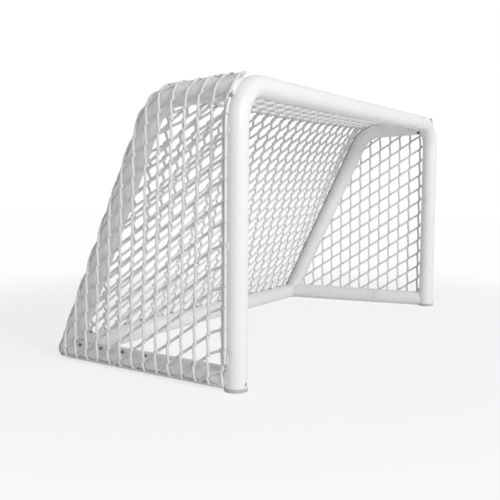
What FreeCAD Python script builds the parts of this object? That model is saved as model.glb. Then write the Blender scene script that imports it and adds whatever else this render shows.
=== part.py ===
import FreeCAD, Part
import math
import os

# A small hockey goal: a bent tube frame with posts and a crossbar, two bent side stays, two base rails
# and a rear bar, all dressed with a white mesh net. Millimetres, +Z up. The mouth faces -Y and +X is on
# the right of someone who looks into it. The posts stand at y = 0 until the last step, which moves the
# whole goal so that its origin lies under the middle of its box, on the floor.

# Steel tube of the frame, stays, base rails and rear bar
TUBE_DIAMETER = 42.4
TUBE_WALL = 2.0

# Front frame
MOUTH_WIDTH = 1180.0
CROSSBAR_HEIGHT = 560.0
FRAME_CORNER_RADIUS = 77.0

# Side stays and base
BASE_DEPTH = 445.0
BASE_TOE_IN = 51.6
STAY_FRONT_DROP = 6.0
STAY_RAIL_FALL = 11.5
STAY_CORNER_DEPTH = 199.0
STAY_LEAN_IN = 12.5
STAY_BEND_RADIUS = 80.0
STAY_SETBACK = 5.0
BASE_RAIL_SETBACK = 5.0

# Holes in the tubes
VENT_HOLE_DIAMETER = 11.0
VENT_HOLE_SETBACK = 7.0
VENT_HOLE_ANGLE = 38.0
DRAIN_HOLE_DIAMETER = 7.0
DRAIN_HOLE_HEIGHT = 14.1

# Plastic foot caps
CAP_FLANGE_DIAMETER = 43.6
CAP_FLANGE_HEIGHT = 7.0
CAP_STEM_LENGTH = 24.0
CAP_STEM_CLEARANCE = 0.15

# Thin rods welded behind the frame, which carry the net's front edges
ROD_DIAMETER = 6.0
POST_ROD_ANGLE = 27.6
CROSSBAR_ROD_ANGLE = 48.0
ROD_FOOT_CLEARANCE = 10.0
ROD_TOP_TURN = 30.0
TACK_DIAMETER = 4.4
TACK_LENGTH = 14.0
TACK_SPACING = 165.0

# Weld beads
WELD_LEG = 3.2

# Netting
TWINE_DIAMETER = 5.6
SIDE_STRAND_PITCH = 32.5
SIDE_KNOT_PITCH = 39.5
SIDE_STRAND_RISE = 19.0
PANEL_MESH_WIDTH = 46.0
PANEL_MESH_DROP = 31.0
PANEL_MESH_LEAN = 16.0
BACK_MESH_COARSENING = 1.33
NET_OVERLAP = 8.0
NET_RIM = 4.0
SMALLEST_MESH_AREA = 90.0
CORD_END_GAP = 6.0

# Pegs that catch the net on the base
PEG_SHANK_DIAMETER = 4.0
PEG_SHANK_LENGTH = 9.0
PEG_HEAD_DIAMETER = 6.6
PEG_HEAD_HEIGHT = 3.0
PEG_HOLE_CLEARANCE = 0.2
PEG_PITCH = 62.0
SIDE_PEG_FRONT_ANGLE = 53.0
SIDE_PEG_REAR_ANGLE = 41.0
SIDE_PEG_FRONT_MARGIN = 91.0
REAR_PEG_ANGLE = 45.0
PEG_END_MARGIN = 46.0

# Values that follow from the driving sizes
TUBE_RADIUS = TUBE_DIAMETER / 2
BORE_RADIUS = TUBE_RADIUS - TUBE_WALL
HALF_WIDTH = MOUTH_WIDTH / 2
STAY_FRONT_HEIGHT = CROSSBAR_HEIGHT - STAY_FRONT_DROP
STAY_CORNER_HEIGHT = STAY_FRONT_HEIGHT - STAY_RAIL_FALL
ROD_RADIUS = ROD_DIAMETER / 2
TWINE_RADIUS = TWINE_DIAMETER / 2
WELD_RADIUS = TUBE_RADIUS + WELD_LEG
NET_OFFSET = TUBE_RADIUS + TWINE_RADIUS
HEM_CORD_TURN = math.acos((TUBE_RADIUS - TWINE_RADIUS) / NET_OFFSET)
HEM_REACH = NET_OFFSET * math.sin(HEM_CORD_TURN) + TWINE_RADIUS
ROD_REACH = TUBE_RADIUS + ROD_RADIUS
POST_ROD_OUTWARD = ROD_REACH * math.cos(math.radians(POST_ROD_ANGLE))
POST_ROD_REARWARD = ROD_REACH * math.sin(math.radians(POST_ROD_ANGLE))
CROSSBAR_ROD_OUTWARD = ROD_REACH * math.cos(math.radians(CROSSBAR_ROD_ANGLE))
CROSSBAR_ROD_REARWARD = ROD_REACH * math.sin(math.radians(CROSSBAR_ROD_ANGLE))
ROD_FOOT_HEIGHT = TUBE_DIAMETER + ROD_FOOT_CLEARANCE
BEND_STEPS = 8
X_AXIS = FreeCAD.Vector(1, 0, 0)
Y_AXIS = FreeCAD.Vector(0, 1, 0)
Z_AXIS = FreeCAD.Vector(0, 0, 1)
SIDES = {"left": -1, "right": 1}


# Helpers
def unit(direction):
    result = FreeCAD.Vector(direction)
    result.normalize()
    return result


def turned(first, second, degrees):
    """A unit vector that starts at the first of two square vectors and turns towards the second."""
    angle = math.radians(degrees)
    return unit(first) * math.cos(angle) + unit(second) * math.sin(angle)


def bar(start, end, radius):
    """A straight round bar."""
    return Part.makeCylinder(radius, (end - start).Length, start, end - start)


def bent_bar(points, bend_radius, radius):
    """A round bar of one radius along straight runs that meet in arcs."""
    edges = []
    start = points[0]
    for before, corner, after in zip(points, points[1:], points[2:]):
        backward = unit(before - corner)
        forward = unit(after - corner)
        turn = math.pi - backward.getAngle(forward)
        reach = bend_radius * math.tan(turn / 2)
        arc_start = corner + backward * reach
        arc_end = corner + forward * reach
        inward = unit(backward + forward) * (bend_radius / math.cos(turn / 2) - bend_radius)
        edges.append(Part.LineSegment(start, arc_start).toShape())
        edges.append(Part.Arc(arc_start, corner + inward, arc_end).toShape())
        start = arc_end
    edges.append(Part.LineSegment(start, points[-1]).toShape())
    section = Part.Wire([Part.makeCircle(radius, points[0], points[1] - points[0])])
    return Part.Wire(edges).makePipeShell([section], True, False)


def beyond(point, normal):
    """A block that fills everything past a plane, on the side to which its normal points."""
    reach = 2 * (MOUTH_WIDTH + BASE_DEPTH + CROSSBAR_HEIGHT)
    block = Part.makeBox(2 * reach, 2 * reach, reach, FreeCAD.Vector(-reach, -reach, 0))
    block.Placement = FreeCAD.Placement(point, FreeCAD.Rotation(Z_AXIS, normal))
    return block


def without(shape, removed):
    for other in removed:
        shape = shape.cut(other)
    return shape


def largest_solid(shape):
    return max(shape.Solids, key=lambda solid: solid.Volume)


# Centrelines and planes
def side_plane_point(side, y, z):
    """A point of the plane in which a side's base rail and stay lie."""
    toe = BASE_TOE_IN * y / BASE_DEPTH
    lean = STAY_LEAN_IN * (z - TUBE_RADIUS) / (STAY_CORNER_HEIGHT - TUBE_RADIUS)
    return FreeCAD.Vector(side * (HALF_WIDTH - toe - lean), y, z)


foot_point = {}
rear_point = {}
stay_corner = {}
stay_front = {}
side_normal = {}
for name, side in SIDES.items():
    foot_point[name] = side_plane_point(side, 0, TUBE_RADIUS)
    rear_point[name] = side_plane_point(side, BASE_DEPTH, TUBE_RADIUS)
    stay_corner[name] = side_plane_point(side, STAY_CORNER_DEPTH, STAY_CORNER_HEIGHT)
    stay_front[name] = side_plane_point(side, 0, STAY_FRONT_HEIGHT)
    along_base = rear_point[name] - foot_point[name]
    side_normal[name] = unit(along_base.cross(stay_corner[name] - foot_point[name])) * side

rail_direction = unit(FreeCAD.Vector(0, STAY_CORNER_DEPTH, STAY_CORNER_HEIGHT - STAY_FRONT_HEIGHT))
slope_direction = unit(
    FreeCAD.Vector(0, BASE_DEPTH - STAY_CORNER_DEPTH, TUBE_RADIUS - STAY_CORNER_HEIGHT)
)
top_normal = X_AXIS.cross(rail_direction)
back_normal = X_AXIS.cross(slope_direction)


def fold_point(offset):
    """Where the planes over the rails and behind the slopes meet, both moved outward by an offset."""
    corner = FreeCAD.Vector(0, STAY_CORNER_DEPTH, STAY_CORNER_HEIGHT)
    return corner + (top_normal + back_normal) * (offset / (1 + top_normal.dot(back_normal)))


def frame_bar(radius, foot_height):
    points = [
        FreeCAD.Vector(-HALF_WIDTH, 0, foot_height),
        FreeCAD.Vector(-HALF_WIDTH, 0, CROSSBAR_HEIGHT),
        FreeCAD.Vector(HALF_WIDTH, 0, CROSSBAR_HEIGHT),
        FreeCAD.Vector(HALF_WIDTH, 0, foot_height),
    ]
    return bent_bar(points, FRAME_CORNER_RADIUS, radius)


def stay_bar(name, radius, setback):
    direction = unit(stay_corner[name] - stay_front[name])
    start = stay_front[name] + direction * setback
    return bent_bar([start, stay_corner[name], rear_point[name]], STAY_BEND_RADIUS, radius)


def base_bar(name, radius):
    direction = unit(rear_point[name] - foot_point[name])
    return bar(foot_point[name] + direction * BASE_RAIL_SETBACK, rear_point[name], radius)


def rear_bar(radius):
    return bar(rear_point["left"], rear_point["right"], radius)


def corner_directions(name):
    """Where the three tubes of a rear corner run to, from that corner."""
    other = "left" if name == "right" else "right"
    corner = rear_point[name]
    return {
        "base": unit(foot_point[name] - corner),
        "stay": unit(stay_corner[name] - corner),
        "rear": unit(rear_point[other] - corner),
    }


def mitred(tube, name, kind):
    """A tube cut at a rear corner along the planes halfway between it and its two neighbours."""
    directions = corner_directions(name)
    own = directions[kind]
    planes = [other - own for key, other in directions.items() if key != kind]
    return without(tube, [beyond(rear_point[name], normal) for normal in planes])


frame_envelope = frame_bar(TUBE_RADIUS, 0)
rear_envelope = rear_bar(TUBE_RADIUS)
base_envelope = {name: base_bar(name, TUBE_RADIUS) for name in SIDES}
stay_envelope = {name: stay_bar(name, TUBE_RADIUS, STAY_SETBACK) for name in SIDES}
flange_envelope = {
    name: Part.makeCylinder(
        CAP_FLANGE_DIAMETER / 2, CAP_FLANGE_HEIGHT, FreeCAD.Vector(side * HALF_WIDTH, 0, 0)
    )
    for name, side in SIDES.items()
}
past_net = {
    name: beyond(foot_point[name] + side_normal[name] * TUBE_RADIUS, side_normal[name]) for name in SIDES
}
past_top_net = beyond(fold_point(TUBE_RADIUS), top_normal)
past_back_net = beyond(fold_point(TUBE_RADIUS), back_normal)


# Pegs: their seats on the base tubes
def peg_seats(start, end, net_normal, margin, first_angle, last_angle):
    """Points along a tube's axis and the direction in which each peg stands, clear of the net."""
    along = unit(end - start)
    upward = net_normal.cross(along)
    if upward.z < 0:
        upward = upward * -1
    usable = (end - start).Length - margin - PEG_END_MARGIN
    count = int(usable / PEG_PITCH) + 1
    spare = (usable - (count - 1) * PEG_PITCH) / 2 if margin == PEG_END_MARGIN else 0
    seats_found = []
    for index in range(count):
        angle = first_angle + (last_angle - first_angle) * index / max(count - 1, 1)
        place = start + along * (margin + spare + index * PEG_PITCH)
        seats_found.append((place, turned(net_normal, upward, angle)))
    return seats_found


def peg(seat, direction):
    """A round-headed peg that stands on the tube, with its shank through the wall."""
    on_tube = seat + direction * TUBE_RADIUS
    head = Part.makeCylinder(PEG_HEAD_DIAMETER / 2, PEG_HEAD_HEIGHT, on_tube, direction)
    shank_start = on_tube - direction * PEG_SHANK_LENGTH
    shank = Part.makeCylinder(
        PEG_SHANK_DIAMETER / 2, PEG_SHANK_LENGTH + PEG_HEAD_HEIGHT / 2, shank_start, direction
    )
    return head.fuse(shank).removeSplitter()


def drilled_for_pegs(tube, places):
    radius = PEG_SHANK_DIAMETER / 2 + PEG_HOLE_CLEARANCE
    return without(tube, [Part.makeCylinder(radius, 2 * TUBE_RADIUS, *place) for place in places])


seats = {}
for name in SIDES:
    seats[name] = peg_seats(
        foot_point[name],
        rear_point[name],
        side_normal[name],
        SIDE_PEG_FRONT_MARGIN,
        SIDE_PEG_FRONT_ANGLE,
        SIDE_PEG_REAR_ANGLE,
    )
seats["rear"] = peg_seats(
    rear_point["left"], rear_point["right"], back_normal, PEG_END_MARGIN, REAR_PEG_ANGLE, REAR_PEG_ANGLE
)

pieces = {}

# Front frame: posts and crossbar bent from one tube, with a drain hole at each foot
drains = [
    Part.makeCylinder(
        DRAIN_HOLE_DIAMETER / 2, TUBE_DIAMETER, FreeCAD.Vector(side * HALF_WIDTH, 0, DRAIN_HOLE_HEIGHT), -Y_AXIS
    )
    for side in SIDES.values()
]
frame_tube = frame_bar(TUBE_RADIUS, CAP_FLANGE_HEIGHT).cut(frame_bar(BORE_RADIUS, CAP_FLANGE_HEIGHT))
pieces["front_frame"] = without(frame_tube, drains)

# Stays: a top rail and a rear slope bent from one tube, closed at the front and vented below
for name, side in SIDES.items():
    tube = stay_envelope[name].cut(stay_bar(name, BORE_RADIUS, STAY_SETBACK + TUBE_WALL))
    rail_start = stay_front[name] + unit(stay_corner[name] - stay_front[name]) * (
        TUBE_RADIUS + VENT_HOLE_SETBACK
    )
    vent_direction = turned(-Z_AXIS, -X_AXIS * side, VENT_HOLE_ANGLE)
    vent = Part.makeCylinder(VENT_HOLE_DIAMETER / 2, TUBE_DIAMETER, rail_start, vent_direction)
    pieces[name + "_stay"] = mitred(tube.cut(frame_envelope), name, "stay").cut(vent)

# Base rails and rear bar, drilled for the pegs
for name in SIDES:
    tube = base_envelope[name].cut(base_bar(name, BORE_RADIUS))
    tube = without(tube, [frame_envelope, flange_envelope[name]])
    pieces[name + "_base_rail"] = drilled_for_pegs(mitred(tube, name, "base"), seats[name])
tube = rear_envelope.cut(rear_bar(BORE_RADIUS))
for name in SIDES:
    tube = mitred(tube, name, "rear")
pieces["rear_bar"] = drilled_for_pegs(tube, seats["rear"])

# Rounded caps that close the rear corners outside the three mitred tubes
for name in SIDES:
    ball = Part.makeSphere(TUBE_RADIUS, rear_point[name])
    inner_sides = [beyond(rear_point[name], direction) for direction in corner_directions(name).values()]
    pieces[name + "_rear_corner"] = without(ball, inner_sides)

# Foot caps: a flange under the post and a stem that plugs its bore
for name, side in SIDES.items():
    stem_height = CAP_FLANGE_HEIGHT + CAP_STEM_LENGTH
    foot = FreeCAD.Vector(side * HALF_WIDTH, 0, 0)
    stem = Part.makeCylinder(BORE_RADIUS - CAP_STEM_CLEARANCE, stem_height, foot)
    pieces[name + "_foot_cap"] = without(flange_envelope[name].fuse(stem).removeSplitter(), drains)


# Net rods behind the frame
def post_rod(side):
    """A rod that stands along the post and follows the start of the corner bend."""
    bend_radius = FRAME_CORNER_RADIUS + POST_ROD_OUTWARD
    outside = side * (HALF_WIDTH + POST_ROD_OUTWARD)
    foot = FreeCAD.Vector(outside, POST_ROD_REARWARD, ROD_FOOT_HEIGHT)
    bend_start = FreeCAD.Vector(outside, POST_ROD_REARWARD, CROSSBAR_HEIGHT - FRAME_CORNER_RADIUS)
    centre = bend_start - X_AXIS * side * bend_radius
    bend_middle = centre + turned(X_AXIS * side, Z_AXIS, ROD_TOP_TURN / 2) * bend_radius
    bend_end = centre + turned(X_AXIS * side, Z_AXIS, ROD_TOP_TURN) * bend_radius
    edges = [
        Part.LineSegment(foot, bend_start).toShape(),
        Part.Arc(bend_start, bend_middle, bend_end).toShape(),
    ]
    section = Part.Wire([Part.makeCircle(ROD_RADIUS, foot, Z_AXIS)])
    return Part.Wire(edges).makePipeShell([section], True, False)


crossbar_start = -HALF_WIDTH + FRAME_CORNER_RADIUS
crossbar_rod_height = CROSSBAR_HEIGHT + CROSSBAR_ROD_OUTWARD
for name, side in SIDES.items():
    pieces[name + "_post_rod"] = post_rod(side)
pieces["crossbar_rod"] = bar(
    FreeCAD.Vector(crossbar_start, CROSSBAR_ROD_REARWARD, crossbar_rod_height),
    FreeCAD.Vector(-crossbar_start, CROSSBAR_ROD_REARWARD, crossbar_rod_height),
    ROD_RADIUS,
)


def tacks(start, direction, outward, length, rod_angle):
    """Tack welds along the groove between a rod and its tube, on the rod's front side."""
    angle = rod_angle - math.degrees(math.asin(TACK_DIAMETER / ROD_REACH))
    groove = start + turned(outward, Y_AXIS, angle) * TUBE_RADIUS
    count = int(length / TACK_SPACING) + 1
    step = (length - TACK_LENGTH) / (count - 1)
    return [
        Part.makeCylinder(TACK_DIAMETER / 2, TACK_LENGTH, groove + direction * (index * step), direction)
        for index in range(count)
    ]


tack_solids = []
for name, side in SIDES.items():
    start = FreeCAD.Vector(side * HALF_WIDTH, 0, ROD_FOOT_HEIGHT)
    length = CROSSBAR_HEIGHT - FRAME_CORNER_RADIUS - ROD_FOOT_HEIGHT
    for tack in tacks(start, Z_AXIS, X_AXIS * side, length, POST_ROD_ANGLE):
        tack_solids.append(without(tack, [frame_envelope, pieces[name + "_post_rod"]]))
start = FreeCAD.Vector(crossbar_start, 0, CROSSBAR_HEIGHT)
for tack in tacks(start, X_AXIS, Z_AXIS, -2 * crossbar_start, CROSSBAR_ROD_ANGLE):
    tack_solids.append(without(tack, [frame_envelope, pieces["crossbar_rod"]]))
pieces["rod_tack_welds"] = Part.makeCompound([largest_solid(tack) for tack in tack_solids])


# Weld beads: what lies within a weld's leg of both tubes of a joint, inside the nets
def bead(first, second, removed):
    return largest_solid(without(first.common(second), removed))


grown_frame = frame_bar(WELD_RADIUS, CAP_FLANGE_HEIGHT)
grown_rear = rear_bar(WELD_RADIUS)
beads = {"stay_top_welds": [], "base_post_welds": [], "rear_corner_welds": [], "rear_bar_welds": []}
for name in SIDES:
    grown_base = base_bar(name, WELD_RADIUS)
    grown_stay = stay_bar(name, WELD_RADIUS, STAY_SETBACK)
    tubes = [frame_envelope, stay_envelope[name], base_envelope[name], rear_envelope]
    rods = [pieces[name + "_post_rod"], flange_envelope[name]]
    nets = [past_net[name], past_top_net, past_back_net]
    floor = beyond(FreeCAD.Vector(0, 0, 0), -Z_AXIS)
    ball = Part.makeSphere(TUBE_RADIUS, rear_point[name])
    beads["stay_top_welds"].append(bead(grown_frame, grown_stay, tubes + rods + nets))
    beads["base_post_welds"].append(bead(grown_frame, grown_base, tubes + rods + nets + [floor]))
    rear_trims = tubes + nets + [ball, floor]
    beads["rear_corner_welds"].append(bead(grown_base, grown_stay, rear_trims + [grown_rear]))
    beads["rear_bar_welds"].append(bead(grown_base, grown_rear, rear_trims))
for node, solids in beads.items():
    pieces[node] = Part.makeCompound(solids)


# Nets
def clipped(polygon, start, end, inset):
    """The part of a polygon that lies left of a line from start to end, by at least the inset."""
    length = math.hypot(end[0] - start[0], end[1] - start[1])
    inward = (-(end[1] - start[1]) / length, (end[0] - start[0]) / length)

    def depth(point):
        return (point[0] - start[0]) * inward[0] + (point[1] - start[1]) * inward[1] - inset

    result = []
    for first, second in zip(polygon, polygon[1:] + polygon[:1]):
        first_depth = depth(first)
        second_depth = depth(second)
        if first_depth >= 0:
            result.append(first)
        if first_depth * second_depth < 0:
            share = first_depth / (first_depth - second_depth)
            result.append(tuple(a + (b - a) * share for a, b in zip(first, second)))
    return result


def polygon_area(polygon):
    turns = zip(polygon, polygon[1:] + polygon[:1])
    return sum(a[0] * b[1] - b[0] * a[1] for a, b in turns) / 2


def mesh_opening(corner, first, second):
    """The four corners of one mesh opening, inside twine that runs along two lattice steps."""
    first_length = math.hypot(*first)
    second_length = math.hypot(*second)
    cross = first[0] * second[1] - first[1] * second[0]
    first_share = TWINE_RADIUS * second_length / abs(cross)
    second_share = TWINE_RADIUS * first_length / abs(cross)
    shares = [
        (first_share, second_share),
        (1 - first_share, second_share),
        (1 - first_share, 1 - second_share),
        (first_share, 1 - second_share),
    ]
    return [
        (corner[0] + a * first[0] + b * second[0], corner[1] + a * first[1] + b * second[1]) for a, b in shares
    ]


def mesh_openings(outline, first, second):
    """All the mesh openings of a convex outline, which runs anticlockwise."""
    if first[0] * second[1] - first[1] * second[0] < 0:
        first, second = second, first
    cross = first[0] * second[1] - first[1] * second[0]
    first_places = [(x * second[1] - y * second[0]) / cross for x, y in outline]
    second_places = [(first[0] * y - first[1] * x) / cross for x, y in outline]
    found = []
    for i in range(math.floor(min(first_places)) - 1, math.ceil(max(first_places)) + 1):
        for j in range(math.floor(min(second_places)) - 1, math.ceil(max(second_places)) + 1):
            corner = (i * first[0] + j * second[0], i * first[1] + j * second[1])
            opening = mesh_opening(corner, first, second)
            for start, end in zip(outline, outline[1:] + outline[:1]):
                opening = clipped(opening, start, end, NET_RIM)
            if len(opening) > 2 and polygon_area(opening) > SMALLEST_MESH_AREA:
                found.append(opening)
    return found


def net_panel(label, origin, first_axis, second_axis, outline, first_step, second_step):
    """One flat net: a holed face, as thick as the twine, with its middle on the plane of its axes."""
    normal = unit(first_axis.cross(second_axis))
    inner = origin - normal * TWINE_RADIUS

    def wire(points):
        corners = [inner + first_axis * x + second_axis * y for x, y in points]
        return Part.makePolygon(corners + corners[:1])

    openings = mesh_openings(outline, first_step, second_step)
    print(label, "openings:", len(openings))
    face = Part.Face([wire(outline)] + [wire(points[::-1]) for points in openings])
    return face.extrude(normal * TWINE_DIAMETER)


def widened(points, offset):
    """A bent line of two runs in a flat frame, moved to its outer side, with its bend drawn round."""
    start, corner, end = points
    first = unit(corner - start)
    second = unit(end - corner)
    first_side = FreeCAD.Vector(-first.y, first.x, 0)
    second_side = FreeCAD.Vector(-second.y, second.x, 0)
    turn = first.getAngle(second)
    centre = corner - first * (STAY_BEND_RADIUS * math.tan(turn / 2)) - first_side * STAY_BEND_RADIUS
    result = [start + first_side * offset]
    for step in range(BEND_STEPS + 1):
        angle = turn * step / BEND_STEPS
        radial = first_side * math.cos(angle) + first * math.sin(angle)
        result.append(centre + radial * (STAY_BEND_RADIUS + offset))
    return result + [end + second_side * offset]


def side_net(name):
    """A side net over the outside of its stay and base rail, from the post to the rear slope."""
    rearward = unit(rear_point[name] - foot_point[name])
    upward = side_normal[name].cross(rearward)
    if upward.z < 0:
        upward = upward * -1
    origin = foot_point[name] + side_normal[name] * NET_OFFSET

    def flat(point):
        from_foot = point - foot_point[name]
        return FreeCAD.Vector(from_foot.dot(rearward), from_foot.dot(upward), 0)

    stay_line = [flat(stay_front[name]), flat(stay_corner[name]), flat(rear_point[name])]
    edge = widened(stay_line, NET_OVERLAP)
    slope = unit(edge[-1] - edge[-2])
    edge[-1] = edge[-1] + slope * ((edge[-1].y + HEM_REACH) / -slope.y)
    rail = unit(edge[1] - edge[0])
    edge[0] = edge[0] + rail * ((POST_ROD_REARWARD - edge[0].x) / rail.x)
    outline = [(POST_ROD_REARWARD, -HEM_REACH)] + [(point.x, point.y) for point in reversed(edge)]
    panel = net_panel(
        name + "_side_net",
        origin,
        rearward,
        upward,
        outline,
        (0, SIDE_KNOT_PITCH),
        (SIDE_STRAND_PITCH, -SIDE_STRAND_RISE),
    )
    return without(panel, [frame_envelope, pieces[name + "_post_rod"], flange_envelope[name]])


for name in SIDES:
    pieces[name + "_side_net"] = side_net(name)

rail_length = (stay_corner["right"] - stay_front["right"]).dot(rail_direction)
slope_length = (rear_point["right"] - stay_corner["right"]).dot(slope_direction)
fold_reach = (fold_point(TUBE_RADIUS) - fold_point(0)).dot(rail_direction)


def half_width_at(start, end, length, place):
    """Half the width of a net over two tubes that run from start to end, at a place along them."""
    return start.x + (end.x - start.x) * place / length + NET_OVERLAP


def across_net(label, normal, direction, start, end, length, first_place, last_place, mesh_scale):
    """A net that spans from side to side: the top net or the back net."""
    origin = FreeCAD.Vector(0, start.y, start.z) + normal * NET_OFFSET
    first_half = half_width_at(start, end, length, first_place)
    last_half = half_width_at(start, end, length, last_place)
    outline = [
        (-last_half, -last_place),
        (last_half, -last_place),
        (first_half, -first_place),
        (-first_half, -first_place),
    ]
    drop = PANEL_MESH_DROP * mesh_scale
    lean = PANEL_MESH_LEAN * mesh_scale
    width = PANEL_MESH_WIDTH * mesh_scale
    return net_panel(label, origin, X_AXIS, direction * -1, outline, (lean, -drop), (lean - width, -drop))


top_net = across_net(
    "top_net",
    top_normal,
    rail_direction,
    stay_front["right"],
    stay_corner["right"],
    rail_length,
    CROSSBAR_ROD_REARWARD,
    rail_length + fold_reach,
    1.0,
)
pieces["top_net"] = without(top_net, [frame_envelope, pieces["crossbar_rod"]])
pieces["back_net"] = across_net(
    "back_net",
    back_normal,
    slope_direction,
    stay_corner["right"],
    rear_point["right"],
    slope_length,
    -fold_reach,
    slope_length + HEM_REACH,
    BACK_MESH_COARSENING,
)


# Border cords: one under the fold of the top and back nets, the others along the nets' lower hems
fold_cord_middle = fold_point(TUBE_RADIUS - TWINE_RADIUS)
fold_cord_half = stay_corner["right"].x + NET_OVERLAP
pieces["top_rear_cord"] = bar(
    fold_cord_middle - X_AXIS * fold_cord_half, fold_cord_middle + X_AXIS * fold_cord_half, TWINE_RADIUS
)


def hem_cord(start, end, net_normal, first_gap, last_gap):
    """A cord in the corner between a base tube and the lower edge of its net."""
    along = unit(end - start)
    downward = net_normal.cross(along)
    if downward.z > 0:
        downward = downward * -1
    place = turned(net_normal, downward, math.degrees(HEM_CORD_TURN)) * NET_OFFSET
    return bar(start + place + along * first_gap, end + place - along * last_gap, TWINE_RADIUS)


for name in SIDES:
    pieces[name + "_base_cord"] = hem_cord(
        foot_point[name], rear_point[name], side_normal[name], WELD_RADIUS + CORD_END_GAP, CORD_END_GAP
    )
pieces["rear_base_cord"] = hem_cord(
    rear_point["left"], rear_point["right"], back_normal, CORD_END_GAP, CORD_END_GAP
)

# Pegs, one group for each base tube
for name in SIDES:
    pieces[name + "_base_pegs"] = Part.makeCompound([peg(*seat) for seat in seats[name]])
pieces["rear_bar_pegs"] = Part.makeCompound([peg(*seat) for seat in seats["rear"]])


# The origin moves to the middle of the goal's box, on the floor
boxes = [shape.optimalBoundingBox(False, False) for shape in pieces.values()]
middle_y = (min(box.YMin for box in boxes) + max(box.YMax for box in boxes)) / 2
print("middle_y", round(middle_y, 3))

os.makedirs("parts", exist_ok=True)
for node, shape in pieces.items():
    shape.translate(FreeCAD.Vector(0, -middle_y, 0))
    shape.exportStep("parts/" + node + ".step")
    box = shape.BoundBox
    print(node, "solids", len(shape.Solids), "valid", shape.isValid(), "volume", round(shape.Volume), box)
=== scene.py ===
"""Dresses a small hockey goal: painted tubes, welds, plastic caps, pegs and a white mesh net."""

import logging
import math
from dataclasses import dataclass
from enum import Enum

import bpy
import numpy as np
from bpy.types import Material, Node, NodeTree, Object
from mathutils import Matrix, Vector

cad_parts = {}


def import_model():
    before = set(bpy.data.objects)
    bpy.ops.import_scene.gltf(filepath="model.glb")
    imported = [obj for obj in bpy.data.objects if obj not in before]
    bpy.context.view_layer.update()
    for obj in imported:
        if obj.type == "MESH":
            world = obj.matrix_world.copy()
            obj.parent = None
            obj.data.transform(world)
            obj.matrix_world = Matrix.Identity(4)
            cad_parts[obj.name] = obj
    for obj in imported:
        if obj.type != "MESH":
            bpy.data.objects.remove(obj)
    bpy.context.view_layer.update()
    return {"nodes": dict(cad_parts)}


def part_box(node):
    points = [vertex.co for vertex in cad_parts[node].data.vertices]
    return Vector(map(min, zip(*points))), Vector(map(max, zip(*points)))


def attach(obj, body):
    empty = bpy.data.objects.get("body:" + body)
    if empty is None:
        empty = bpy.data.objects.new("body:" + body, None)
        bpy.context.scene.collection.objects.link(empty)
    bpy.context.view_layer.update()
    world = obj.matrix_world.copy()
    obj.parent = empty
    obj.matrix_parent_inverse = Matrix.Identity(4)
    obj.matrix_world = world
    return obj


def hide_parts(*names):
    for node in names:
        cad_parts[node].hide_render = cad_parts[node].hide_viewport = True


LOG = logging.getLogger("goal")
Array = np.ndarray
Socket = bpy.types.NodeSocket
Sockets = bpy.types.bpy_prop_collection
Colour = tuple[float, float, float]
Place = tuple[float, float, float]
Box = tuple[tuple[float, float], tuple[float, float]]


class Side(Enum):
    """The two sides of the goal, seen by someone who looks into its mouth."""

    LEFT = -1
    RIGHT = 1

    @property
    def word(self) -> str:
        """The side's name as the nodes spell it."""
        return self.name.lower()


class Slot(Enum):
    """Names of the record's material slots for the new pieces."""

    TWINE = "net_twine"
    CORD = "border_cord"


# Small vector helpers


def unit(vector: Array) -> Array:
    """The vector at length one."""
    return vector / np.linalg.norm(vector)


def ease(share: Array) -> Array:
    """A smooth step from 0 to 1 as the share goes from 0 to 1."""
    held = np.clip(share, 0.0, 1.0)
    return held * held * (3 - 2 * held)


def distances(path: Array) -> Array:
    """How far along a line each of its points lies."""
    return np.concatenate([[0], np.cumsum(np.linalg.norm(np.diff(path, axis=0), axis=1))])


def points_at(path: Array, places: Array) -> Array:
    """The points of a line that lie at distances along it."""
    known = distances(path)
    return np.column_stack([np.interp(places, known, path[:, axis]) for axis in range(path.shape[1])])


def smooth_line(knots: Array, step: float) -> Array:
    """A smooth line through points that are unevenly spaced.

    Args:
        knots: The points to pass through, one in each row.
        step: The longest distance between two points of the result.

    Returns:
        The line's points, one in each row.
    """
    gaps = np.maximum(np.linalg.norm(np.diff(knots, axis=0), axis=1), 1e-6)
    slopes = np.diff(knots, axis=0) / gaps[:, None]
    inner = (knots[2:] - knots[:-2]) / (gaps[:-1] + gaps[1:])[:, None]
    tangents = np.vstack([slopes[:1], inner, slopes[-1:]])
    parts = []
    for index, gap in enumerate(gaps):
        count = max(2, math.ceil(gap / step))
        u = (np.arange(count) / count)[:, None]
        parts.append(
            knots[index] * (1 + 2 * u) * (1 - u) ** 2
            + tangents[index] * gap * u * (1 - u) ** 2
            + knots[index + 1] * u * u * (3 - 2 * u)
            + tangents[index + 1] * gap * u * u * (u - 1)
        )
    return np.vstack(parts + [knots[-1:]])


def ring_frames(path: Array) -> tuple[Array, Array]:
    """Two directions square to a line at each of its points, without twist along it."""
    tangents = np.gradient(path, axis=0)
    tangents /= np.maximum(np.linalg.norm(tangents, axis=1), 1e-12)[:, None]
    start = tangents[0]
    helper = np.eye(3)[np.argmin(np.abs(start))]
    current = unit(np.cross(start, helper))
    first = np.empty_like(path)
    for index, tangent in enumerate(tangents):
        current = current - tangent * current.dot(tangent)
        current = current / math.sqrt(current.dot(current))
        first[index] = current
    return first, np.cross(tangents, first)


def spiral(path: Array, radius: float, pitch: float, step: float) -> Array:
    """A line wound round another.

    Args:
        path: The line to wind round, one point in each row.
        radius: The distance from that line.
        pitch: The length of the line that one turn takes.
        step: The distance between two points of the result.

    Returns:
        The wound line's points.
    """
    length = distances(path)[-1]
    count = int(length * math.hypot(1, 2 * math.pi * radius / pitch) / step)
    places = np.linspace(0, length, count)
    middle = points_at(path, places)
    first, second = ring_frames(middle)
    angles = (2 * math.pi * places / pitch)[:, None]
    return middle + radius * (np.cos(angles) * first + np.sin(angles) * second)


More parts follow.
